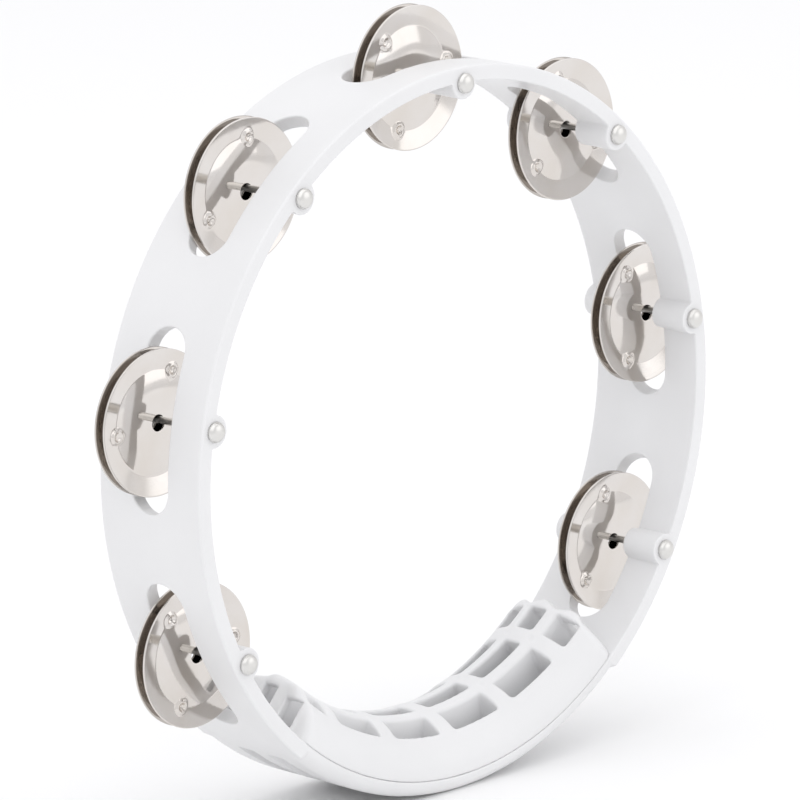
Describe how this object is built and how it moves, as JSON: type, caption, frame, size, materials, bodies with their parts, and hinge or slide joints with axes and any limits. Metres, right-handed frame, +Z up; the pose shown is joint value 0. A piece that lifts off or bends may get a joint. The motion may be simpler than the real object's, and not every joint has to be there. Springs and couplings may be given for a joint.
{
  "type": "tambourine",
  "caption": "Headless hand tambourine: a round white hoop with a thick ribbed grip set inside it and pairs of pressed steel jingles hung on headed pins in long slots.",
  "frame": {"origin": "middle of the base of the bounding box, under the hoop's lowest point, with the hoop standing on its rim", "axes": "+Z up, +Y along the hoop's axis from the pin heads towards the plain back face, +X to the right seen from the pin heads"},
  "size_m": [0.289, 0.0498, 0.272],
  "materials": {
    "hoop_plastic": "white moulded plastic with a soft sheen",
    "grip_plastic": "white moulded plastic with a soft sheen",
    "jingle_steel": "pressed steel sheet, bright plated and lightly marked by use",
    "pin_steel": "bright plated steel pin with a domed head"
  },
  "bodies": {
    "frame": {"hoop": "hoop_plastic", "hand_grip": "grip_plastic", "pin_1": "pin_steel", "pin_2": "pin_steel", "pin_3": "pin_steel", "pin_4": "pin_steel", "pin_5": "pin_steel", "pin_6": "pin_steel", "pin_7": "pin_steel"},
    "far_jingle_1": {"jingle_far_1": "jingle_steel"},
    "near_jingle_1": {"jingle_near_1": "jingle_steel"},
    "far_jingle_2": {"jingle_far_2": "jingle_steel"},
    "near_jingle_2": {"jingle_near_2": "jingle_steel"},
    "far_jingle_3": {"jingle_far_3": "jingle_steel"},
    "near_jingle_3": {"jingle_near_3": "jingle_steel"},
    "far_jingle_4": {"jingle_far_4": "jingle_steel"},
    "near_jingle_4": {"jingle_near_4": "jingle_steel"},
    "far_jingle_5": {"jingle_far_5": "jingle_steel"},
    "near_jingle_5": {"jingle_near_5": "jingle_steel"},
    "far_jingle_6": {"jingle_far_6": "jingle_steel"},
    "near_jingle_6": {"jingle_near_6": "jingle_steel"},
    "far_jingle_7": {"jingle_far_7": "jingle_steel"},
    "near_jingle_7": {"jingle_near_7": "jingle_steel"}
  },
  "joints": [
    {"name": "jingle_spin_1", "type": "hinge", "parent": "frame", "child": "far_jingle_1", "pos_m": [-0.10505, 0.0038, 0.0651], "axis": [0, 1, 0], "continuous": true},
    {"name": "jingle_clash_1", "type": "slide", "parent": "far_jingle_1", "child": "near_jingle_1", "axis": [0, -1, 0], "range_m": [0, 0.0077]},
    {"name": "jingle_spin_2", "type": "hinge", "parent": "frame", "child": "far_jingle_2", "pos_m": [-0.11946, 0.0067, 0.14681], "axis": [0, 1, 0], "continuous": true},
    {"name": "jingle_clash_2", "type": "slide", "parent": "far_jingle_2", "child": "near_jingle_2", "axis": [0, -1, 0], "range_m": [0, 0.0105]},
    {"name": "jingle_spin_3", "type": "hinge", "parent": "frame", "child": "far_jingle_3", "pos_m": [-0.07797, 0.0064, 0.21867], "axis": [0, 1, 0], "continuous": true},
    {"name": "jingle_clash_3", "type": "slide", "parent": "far_jingle_3", "child": "near_jingle_3", "axis": [0, -1, 0], "range_m": [0, 0.0103]},
    {"name": "jingle_spin_4", "type": "hinge", "parent": "frame", "child": "far_jingle_4", "pos_m": [0, 0.0043, 0.24705], "axis": [0, 1, 0], "continuous": true},
    {"name": "jingle_clash_4", "type": "slide", "parent": "far_jingle_4", "child": "near_jingle_4", "axis": [0, -1, 0], "range_m": [0, 0.0082]},
    {"name": "jingle_spin_5", "type": "hinge", "parent": "frame", "child": "far_jingle_5", "pos_m": [0.07797, 0.0041, 0.21867], "axis": [0, 1, 0], "continuous": true},
    {"name": "jingle_clash_5", "type": "slide", "parent": "far_jingle_5", "child": "near_jingle_5", "axis": [0, -1, 0], "range_m": [0, 0.008]},
    {"name": "jingle_spin_6", "type": "hinge", "parent": "frame", "child": "far_jingle_6", "pos_m": [0.11946, 0.0022, 0.14681], "axis": [0, 1, 0], "continuous": true},
    {"name": "jingle_clash_6", "type": "slide", "parent": "far_jingle_6", "child": "near_jingle_6", "axis": [0, -1, 0], "range_m": [0, 0.0061]},
    {"name": "jingle_spin_7", "type": "hinge", "parent": "frame", "child": "far_jingle_7", "pos_m": [0.10505, 0.0043, 0.0651], "axis": [0, 1, 0], "continuous": true},
    {"name": "jingle_clash_7", "type": "slide", "parent": "far_jingle_7", "child": "near_jingle_7", "axis": [0, -1, 0], "range_m": [0, 0.0082]}
  ]
}
